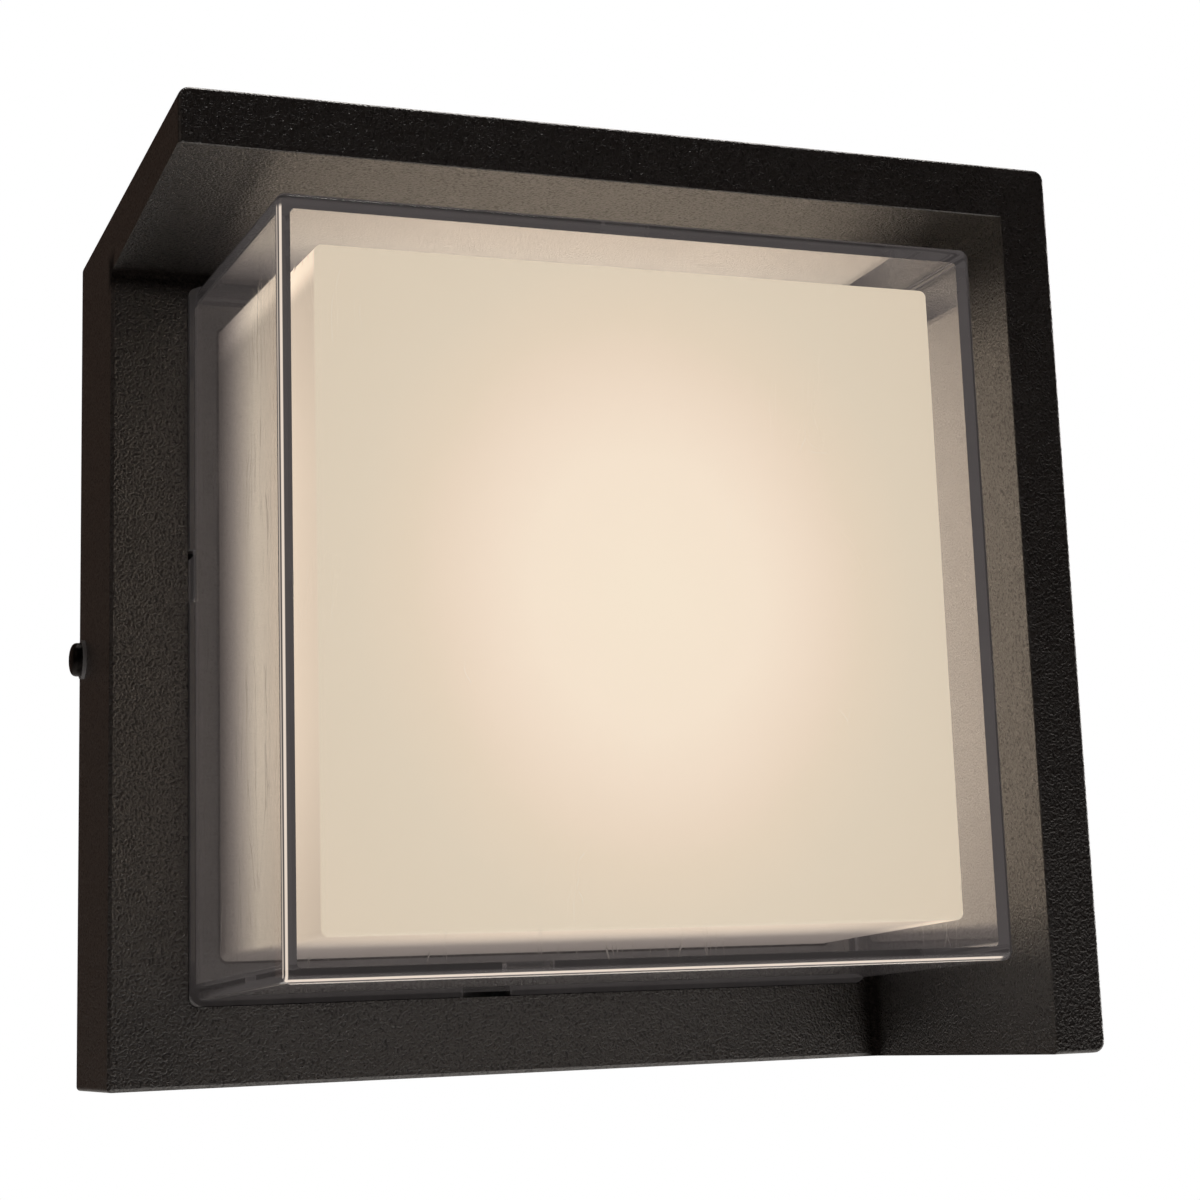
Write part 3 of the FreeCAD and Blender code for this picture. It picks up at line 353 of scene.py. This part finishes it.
core_radius = pan.sum("SUBTRACT", given["Thread radius"], pan.sum("MULTIPLY", pitch, THREAD_SINK))
core = pan.node("GeometryNodeMeshCylinder", {}, {0: 24, 3: core_radius, 4: given["Length"]})
down = pan.vector(z=pan.sum("MULTIPLY", given["Length"], -0.5))
core = pan.node("GeometryNodeSetPosition", {}, {0: core, 3: down})
threaded = pan.sum("SUBTRACT", given["Length"], pitch)
helix = pan.node("GeometryNodeCurveSpiral", {}, {
    0: 20, 1: pan.sum("DIVIDE", threaded, pitch), 2: core_radius, 3: core_radius,
    4: pan.sum("MULTIPLY", threaded, -1.0)})
tooth = pan.node("GeometryNodeCurvePrimitiveCircle", {}, {0: 4, 4: pan.sum("MULTIPLY", pitch, THREAD_HALF)})
thread = pan.node("GeometryNodeCurveToMesh", {}, {0: helix, 1: tooth, "Fill Caps": True})

screw = pan.node("GeometryNodeJoinGeometry", {}, {0: [cut, core, thread]})
lay = pan.node("GeometryNodeInputNamedAttribute", {"data_type": "FLOAT_VECTOR"}, {0: "outwards"})
stand = pan.node("FunctionNodeAlignRotationToVector", {"axis": "Z"}, {2: lay})
spin = pan.node("FunctionNodeRandomValue", {"data_type": "FLOAT"}, {
    2: 0.0, 3: given["Turn"], 8: given["Seed"]}, 1)
turned = pan.node("FunctionNodeRotateRotation", {"rotation_space": "LOCAL"}, {
    0: stand, 1: pan.node("FunctionNodeAxisAngleToRotation", {}, {0: (0.0, 0.0, 1.0), 1: spin})})
pan.end(pan.node("GeometryNodeInstanceOnPoints", {}, {0: given["Geometry"], 2: screw, 5: turned}))


def fit_screws(node, body, outwards, head_height, material, pitch=0.5 * MM, shank_radius=1.5 * MM):
    """Threaded screws on the seats of a CAD node's plain ones, within their boxes."""
    out = Vector(outwards)
    seats = []
    for low, high in solids(node):
        half = (high - low) / 2
        reach = abs(half.dot(out))
        widest = min(h for h, o in zip(half, out) if o == 0.0)
        seats.append((low + high) / 2 + out * (reach - head_height))
    mesh = bpy.data.meshes.new(node + "_seats")
    mesh.from_pydata(seats, [], [])
    facing = mesh.attributes.new("outwards", "FLOAT_VECTOR", "POINT")
    for one in facing.data:
        one.vector = out
    made = pan.piece(node + "_threaded", mesh, {
        "Head radius": widest, "Head height": head_height, "Thread radius": shank_radius * 0.99,
        "Length": 2 * reach - head_height, "Pitch": pitch, "Turn": math.tau, "Seed": len(node),
        "Material": material})
    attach(made, body)
    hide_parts(node)


coat(galvanised("bracket_zinc", 240.0), "wall_bracket")
earth_green = plated("green_passivated", (0.03, 0.17, 0.05), (0.10, 0.38, 0.14), 0.6)
fit_screws("bond_screw", "bond_screw", (0.0, -1.0, 0.0), 2.0 * MM, earth_green)


# Housing: one aluminium casting, its hood over the top and the right side.
# Black powder coat with a fine leather texture, worn a little brighter on the outer edges.
ROOT = (84.9 * MM, -44.0 * MM)
COAT_RELIEF = 0.15 * MM

powder = Finish("black_leather_powder")
x, y, z = powder.axes()
wander = powder.noise(900.0, 2.0)
place = powder.moved(powder.place, 0.0003, wander.output("Color"))
swell = powder.noise(1600.0, 2.0, 0.55, place).ease(0.38, 0.62)
pebble = powder.cells(1800.0, "SMOOTH_F1", place).ease(0.1, 0.7, 1.0, 0.0)
pit = powder.cells(330.0, place=place).ease(0.04, 0.14)
grain = powder.noise(5200.0, 2.0, 0.6)
height = 0.45 * swell + 0.4 * pebble + 0.08 * grain + 0.25 * pit
from_root = abs(x.most(z) - ROOT[0]).most(abs(y - ROOT[1]))
dry = from_root.ease(1.0 * MM, 6.0 * MM, 1.0, 0.0)
worn = powder.edge_nearness("housing", 1.6 * MM) * powder.noise(240.0, 5.0, 0.7).ease(0.5, 0.75)
dust = powder.noise(38.0, 5.0, 0.62).ease(0.42, 0.78)
# Painted shade: the coat's colour runs darker in the pits of its leather relief, where swell and pebble are
# low; the dust part is real dust tone.
colour = powder.blend(swell * 0.5 + pebble * 0.3 + dust * 0.2, (0.003, 0.0022, 0.0019), (0.026, 0.021, 0.019))
colour = powder.blend(worn * 0.55, colour, (0.075, 0.066, 0.060))
relief = powder.relief(height, COAT_RELIEF)
cured = powder.principled({
    "Base Color": colour, "Roughness": 0.49 - 0.2 * height + 0.05 * dust - 0.04 * worn,
    "IOR": 1.72, "Specular IOR Level": 1.0, "Normal": relief})
thin = powder.principled({
    "Base Color": colour, "Roughness": 0.85, "Specular IOR Level": 0.15, "Normal": relief})
dull = dry.most(height.ease(0.25, 0.65, 0.4, 0.0))
coat(powder.end(powder.node("ShaderNodeMixShader", {}, {0: dull, 1: cured, 2: thin})), "housing")


# Light engine: a white-masked aluminium board with its chips, pressed on a soft thermal pad,
# under a white reflector tray, and plugged to two leads that leave through a grommet.
def moulded(name, deep, pale, rough=0.4, grain=0.012):
    """Injection-moulded plastic: spark-eroded grain, faint flow marks and dust."""
    plastic = Finish(name)
    spark = plastic.noise(3200.0, 3.0, 0.6)
    flow = plastic.noise(1.0, 3.0, 0.5, plastic.stretched((60.0, 90.0, 260.0)))
    dust = plastic.noise(150.0, 5.0, 0.65).ease(0.45, 0.8)
    colour = plastic.blend(0.5 * flow + 0.5 * dust, deep, pale)
    return plastic.end(plastic.principled({
        "Base Color": colour, "Roughness": rough + 0.14 * dust + 0.08 * spark,
        "Normal": plastic.relief(spark * 0.8 + flow * 0.2, grain * MM)}))


def rubber(name, deep, pale):
    """Silicone or soft pad: matt, slightly mottled, with a dusty bloom."""
    soft = Finish(name)
    mottle = soft.noise(700.0, 4.0, 0.65)
    bloom = soft.noise(90.0, 4.0, 0.6).ease(0.45, 0.75)
    colour = soft.blend(0.6 * mottle + 0.4 * bloom, deep, pale)
    return soft.end(soft.principled({
        "Base Color": colour, "Roughness": 0.62 + 0.2 * bloom,
        "Normal": soft.relief(mottle, 0.03 * MM)}))


mask = Finish("white_solder_mask")
lacquer = mask.noise(900.0, 3.0)
track = mask.cells(95.0, "DISTANCE_TO_EDGE", mask.stretched((1.0, 0.0, 1.0)), "Distance").ease(0.05, 0.09)
colour = mask.blend(track, (0.70, 0.70, 0.66), (0.84, 0.84, 0.81))
coat(mask.end(mask.principled({
    "Base Color": colour, "Roughness": 0.28 + 0.15 * lacquer,
    "Normal": mask.relief(0.7 * track + 0.3 * lacquer, 0.03 * MM)})), "led_board")

coat(rubber("pad_grey", (0.30, 0.34, 0.38), (0.42, 0.46, 0.50)), "thermal_pad")
coat(moulded("chip_resin", (0.80, 0.60, 0.18), (0.95, 0.80, 0.40), 0.25), "led_chips")
white_moulding = moulded("white_moulding", (0.74, 0.74, 0.71), (0.84, 0.84, 0.81))
coat(white_moulding, "reflector_tray", "board_plug")
zinc_plate = plated("bright_zinc", (0.42, 0.43, 0.44), (0.72, 0.73, 0.72))
fit_screws("board_screws", "lamp", (0.0, -1.0, 0.0), 2.0 * MM, zinc_plate)
silicone = rubber("silicone_grey", (0.25, 0.25, 0.26), (0.40, 0.40, 0.41))
coat(silicone, "face_grommet")


def insulation(name, deep, pale):
    """PVC lead insulation: smooth and slightly waxy, with handling dust."""
    sleeve = Finish(name)
    wax = sleeve.noise(600.0, 4.0, 0.6)
    scuff = sleeve.noise(130.0, 5.0, 0.7).ease(0.5, 0.8)
    colour = sleeve.blend(0.7 * wax + 0.3 * scuff, deep, pale)
    return sleeve.end(sleeve.principled({
        "Base Color": colour, "Roughness": 0.3 + 0.2 * scuff, "Normal": sleeve.relief(wax, 0.02 * MM)}))


coat(insulation("lead_red", (0.40, 0.012, 0.010), (0.55, 0.03, 0.02)), "led_lead_red")
coat(insulation("lead_black", (0.008, 0.008, 0.008), (0.03, 0.03, 0.03)), "led_lead_black")


# Opal diffuser: a five-sided box moulded in 2 mm opal polycarbonate, screwed on from behind.
# It glows most over the middle of the chips, and its sides fade towards the casting.
FRONT_REACH = 0.102
FRONT_GAIN = 1.04
FRONT_GLOW = [(0.0, (0.949, 0.818, 0.637)), (0.25, (0.94, 0.794, 0.623)), (0.35, (0.897, 0.74, 0.577)),
              (0.44, (0.838, 0.687, 0.526)), (0.5, (0.79, 0.659, 0.496)), (0.62, (0.736, 0.63, 0.478)),
              (0.75, (0.713, 0.61, 0.461)), (0.95, (0.699, 0.59, 0.444))]
SIDE_GLOW = [(0.0, (0.72, 0.585, 0.44)), (0.2, (0.80, 0.65, 0.49)), (0.38, (0.90, 0.74, 0.565)),
             (0.53, (0.95, 0.80, 0.62)), (0.72, (0.53, 0.445, 0.365)), (0.84, (0.27, 0.225, 0.195)),
             (0.97, (0.08, 0.064, 0.056))]
UNDER_GLOW = [(0.0, (0.58, 0.475, 0.38)), (0.2, (0.34, 0.285, 0.24)), (0.5, (0.20, 0.165, 0.145)),
              (1.0, (0.15, 0.125, 0.11))]
HOOD_GLOW = 1.8

opal_low, opal_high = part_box("opal_diffuser")
opal = Finish("opal_glow")
x, y, z = opal.axes()
cloud = opal.noise(28.0, 4.0, 0.55)
speck = opal.noise(1500.0, 2.0, 0.6)
radius = (x * x + 0.75 * z * z) ** 0.5 + 0.005 * (cloud - 0.5)
front = opal.node("ShaderNodeValToRGB", {"stops": FRONT_GLOW}, {0: radius / FRONT_REACH})
depth = (y - opal_low.y) / (opal_high.y - opal_low.y)
side = opal.node("ShaderNodeValToRGB", {"stops": SIDE_GLOW}, {0: depth})
side = opal.blend(abs(x).least(abs(z)).ease(0.02, 0.08, 0.0, 0.25), side, (0.0, 0.0, 0.0))
beside_hood = 1.0 + (HOOD_GLOW - 1.0) * x.most(z).ease(62.0 * MM, 68.0 * MM)
side = opal.scaled(side, beside_hood)
under = opal.node("ShaderNodeValToRGB", {"stops": UNDER_GLOW}, {0: depth})
side = opal.blend((0.0 - z).ease(70.5 * MM, 72.0 * MM), side, under)
front = opal.scaled(front, FRONT_GAIN)
glow = opal.blend(depth.ease(0.004, 0.03), front, side)
glow = opal.blend(0.05 * speck, glow, (1.0, 0.9, 0.8))
coat(opal.end(opal.principled({
    "Base Color": opal.blend(cloud, (0.10, 0.095, 0.09), (0.13, 0.125, 0.115)),
    "Roughness": 0.34 + 0.12 * cloud, "Emission Color": glow, "Emission Strength": 1.0,
    "Normal": opal.relief(speck, 0.004 * MM)})), "opal_diffuser")
fit_screws("diffuser_screws", "lamp", (0.0, 1.0, 0.0), 2.0 * MM, zinc_plate)


# Clear cover: a five-sided box in 3 mm clear polycarbonate on a flat silicone gasket.
# Four tabs on its foot spring into slots in the casting. Its walls carry fine wiping scratches and a faint
# painted glow that stands in for diffuser light scattered in the plastic, and its two free edges, away from
# the hood, carry painted glowing lines that stand in for light that runs along the walls and leaves them.
coat(silicone, "cover_gasket")

COVER_EDGE_R = 1.8 * MM
COVER_FRONT_HALF = 79.7 * MM

clear = Finish("clear_polycarbonate")
wipe = clear.cells(1.0, "DISTANCE_TO_EDGE", clear.moved(
    clear.stretched((160.0, 160.0, 14.0)), 0.9, clear.noise(30.0, 3.0).output("Color")))
patch = clear.noise(45.0, 3.0).ease(0.5, 0.66)
scratch = wipe.ease(0.0, 0.012, 1.0, 0.0) * patch
haze_and_glow_tone = clear.noise(120.0, 4.0, 0.6)
x, y, z = clear.axes()
cover_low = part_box("clear_cover")[0]
# Painted highlight: two thin glowing lines painted into the emission along the left and bottom front edges,
# standing in for light that leaves the walls there.
in_from_edge = x.least(z) + COVER_FRONT_HALF
along_edge = x.most(z).ease(COVER_FRONT_HALF - 3.5 * MM, COVER_FRONT_HALF - 2.5 * MM, 1.0, 0.0)
outer_glow_line = in_from_edge.ease(0.01 * MM, 0.06 * MM) * in_from_edge.ease(0.14 * MM, 0.22 * MM, 1.0, 0.0)
inner_glow_line = in_from_edge.ease(0.34 * MM, 0.5 * MM) * in_from_edge.ease(0.8 * MM, 0.95 * MM, 1.0, 0.0)
at_front = y.ease(cover_low.y + 0.8 * COVER_EDGE_R, cover_low.y + COVER_EDGE_R, 1.0, 0.0)
painted_edge_glow = (0.6 * outer_glow_line + inner_glow_line).least(1.0) * at_front * along_edge
# Painted glow: a faint warm emission over the whole cover, standing in for diffuser light scattered in the
# plastic; the haze noise varies it.
painted_glow_veil = clear.blend(haze_and_glow_tone, (0.0087, 0.0077, 0.0077), (0.014, 0.0126, 0.0123))
glass_and_painted_glow = clear.principled({
    "Base Color": (0.97, 0.965, 0.975), "Roughness": 0.015 + 0.02 * haze_and_glow_tone + 0.25 * scratch,
    "IOR": 1.585, "Transmission Weight": 1.0,
    # Painted light: the emission is the faint glow over the walls together with the glowing edge lines.
    "Emission Color": clear.blend(painted_edge_glow, painted_glow_veil, (0.74, 0.63, 0.53)), "Emission Strength": 1.0,
    "Normal": clear.relief(scratch + 0.25 * haze_and_glow_tone, 0.006 * MM)})
through = clear.node("ShaderNodeBsdfTransparent", {}, {"Color": (0.94, 0.935, 0.93)})
shaded = clear.node("ShaderNodeLightPath", {}, {}, "Is Shadow Ray")
coat(clear.end(clear.node("ShaderNodeMixShader", {}, {0: shaded, 1: glass_and_painted_glow, 2: through})), "clear_cover")


# Driver: a sealed plastic case with its lid, screwed behind the casting's front wall.
case_plastic = moulded("driver_plastic", (0.62, 0.62, 0.60), (0.74, 0.74, 0.72), 0.45)
coat(case_plastic, "driver_case", "driver_lid")
fit_screws("driver_screws", "lamp", (0.0, 1.0, 0.0), 2.0 * MM, zinc_plate)


# Back plate: galvanised sheet on a silicone seal, held by four screws.
# It carries the terminal block, the earth lug and the supply leads that pass through its grommet.
coat(galvanised("plate_zinc", 210.0), "back_plate")
coat(silicone, "plate_seal", "plate_grommet")
fit_screws("plate_screws", "lamp", (0.0, 1.0, 0.0), 2.0 * MM, zinc_plate)
coat(white_moulding, "terminal_block")
coat(plated("tinned_brass", (0.46, 0.42, 0.34), (0.72, 0.69, 0.60)),
     "terminal_screw_live", "terminal_screw_neutral", "terminal_screw_earth", "earth_lug")
coat(insulation("lead_brown", (0.10, 0.032, 0.012), (0.18, 0.06, 0.02)), "supply_lead_live")
coat(insulation("lead_blue", (0.010, 0.05, 0.30), (0.02, 0.10, 0.42)), "supply_lead_neutral")
coat(insulation("lead_green", (0.03, 0.25, 0.03), (0.35, 0.45, 0.03)), "earth_lead")
fit_screws("earth_screw", "lamp", (0.0, 1.0, 0.0), 2.0 * MM, earth_green)


# Side screws: two M4 pan heads in black oxide on rubber washers.
# They pass the casting and the bracket's open slots into square nuts held in cast cages.
black_oxide = plated("black_oxide", (0.012, 0.011, 0.011), (0.035, 0.032, 0.03))
fit_screws("side_screw_left", "screw_left", (-1.0, 0.0, 0.0), 2.6 * MM, black_oxide,
           0.7 * MM, 2.0 * MM)
fit_screws("side_screw_right", "screw_right", (1.0, 0.0, 0.0), 2.6 * MM, black_oxide,
           0.7 * MM, 2.0 * MM)
coat(silicone, "screw_washers")
coat(zinc_plate, "clamp_nuts")


# Studio: a pale floor well below the lantern and large soft lamps above, behind and beside it.
# The camera looks up from the lower left; the sky is plain white to it and dim to everything else.
FLOOR_DROP = 0.45
FLOOR_HALF = 1.6
CAMERA_PLACE = (-0.19015, -0.60772, -0.08888)
CAMERA_RIGHT = Vector((0.927137, -0.372522, -0.040548))
CAMERA_AHEAD = Vector((0.3729, 0.906552, 0.197759))
CAMERA_LENS = 75.3
CAMERA_SHIFT = -0.075

mesh = bpy.data.meshes.new("floor")
corners = [(sx * FLOOR_HALF, sy * FLOOR_HALF, -FLOOR_DROP) for sx, sy in ((-1, -1), (1, -1), (1, 1), (-1, 1))]
mesh.from_pydata(corners, [], [(0, 1, 2, 3)])
floor = bpy.data.objects.new("floor", mesh)
bpy.context.scene.collection.objects.link(floor)
paper = Finish("floor_paper")
fibre = paper.noise(60.0, 4.0, 0.6)
mesh.materials.append(paper.end(paper.principled({
    "Base Color": paper.blend(fibre, (0.80, 0.79, 0.77), (0.84, 0.83, 0.81)), "Roughness": 0.8})))


def soft_lamp(name, place, aim, size, power, colour):
    data = bpy.data.lights.new(name, "AREA")
    data.shape = "SQUARE"
    data.size = size
    data.energy = power
    data.color = colour
    lamp = bpy.data.objects.new(name, data)
    lamp.location = place
    lamp.rotation_euler = (Vector(aim) - Vector(place)).to_track_quat("-Z", "Y").to_euler()
    bpy.context.scene.collection.objects.link(lamp)


soft_lamp("lamp_left", (-1.2, -0.8, 0.8), (0, 0, 0), 0.8, 0.7, (1.0, 0.84, 0.72))
soft_lamp("lamp_top", (0.3, 0.2, 1.4), (0, 0, 0), 1.0, 16.0, (1.0, 0.96, 0.92))
soft_lamp("lamp_right", (1.4, 0.3, 0.3), (0, 0, 0), 0.9, 13.0, (1.0, 0.97, 0.94))
soft_lamp("lamp_back", (1.0, 1.3, 0.5), (0, 0, 0), 0.8, 14.0, (1.0, 0.97, 0.94))

sky = Finish("studio", bpy.data.worlds)
behind = sky.node("ShaderNodeSeparateXYZ", {}, {0: sky.node("ShaderNodeTexCoord", {}, {}, "Generated")}, "Y")
room = sky.blend(behind.ease(-0.2, 0.8), (0.0175, 0.0125, 0.011), (0.060, 0.039, 0.030))
dim = sky.node("ShaderNodeBackground", {}, {"Color": room})
white = sky.node("ShaderNodeBackground", {}, {"Color": (1.0, 1.0, 1.0)})
seen = sky.node("ShaderNodeLightPath", {}, {}, "Is Camera Ray")
sky.node("ShaderNodeOutputWorld", {}, {0: sky.node("ShaderNodeMixShader", {}, {0: seen, 1: dim, 2: white})})
bpy.context.scene.world = sky.material

lens = bpy.data.cameras.new("camera")
lens.sensor_width = 36.0
lens.lens = CAMERA_LENS
lens.shift_x = CAMERA_SHIFT
lens.shift_y = CAMERA_SHIFT
lens.clip_start = 0.01
camera = bpy.data.objects.new("camera", lens)
up = CAMERA_RIGHT.cross(CAMERA_AHEAD)
turn = Matrix((CAMERA_RIGHT, up, -CAMERA_AHEAD)).transposed().to_4x4()
camera.matrix_world = Matrix.Translation(CAMERA_PLACE) @ turn
bpy.context.scene.collection.objects.link(camera)
bpy.context.scene.camera = camera
bpy.context.scene.view_settings.view_transform = "Standard"
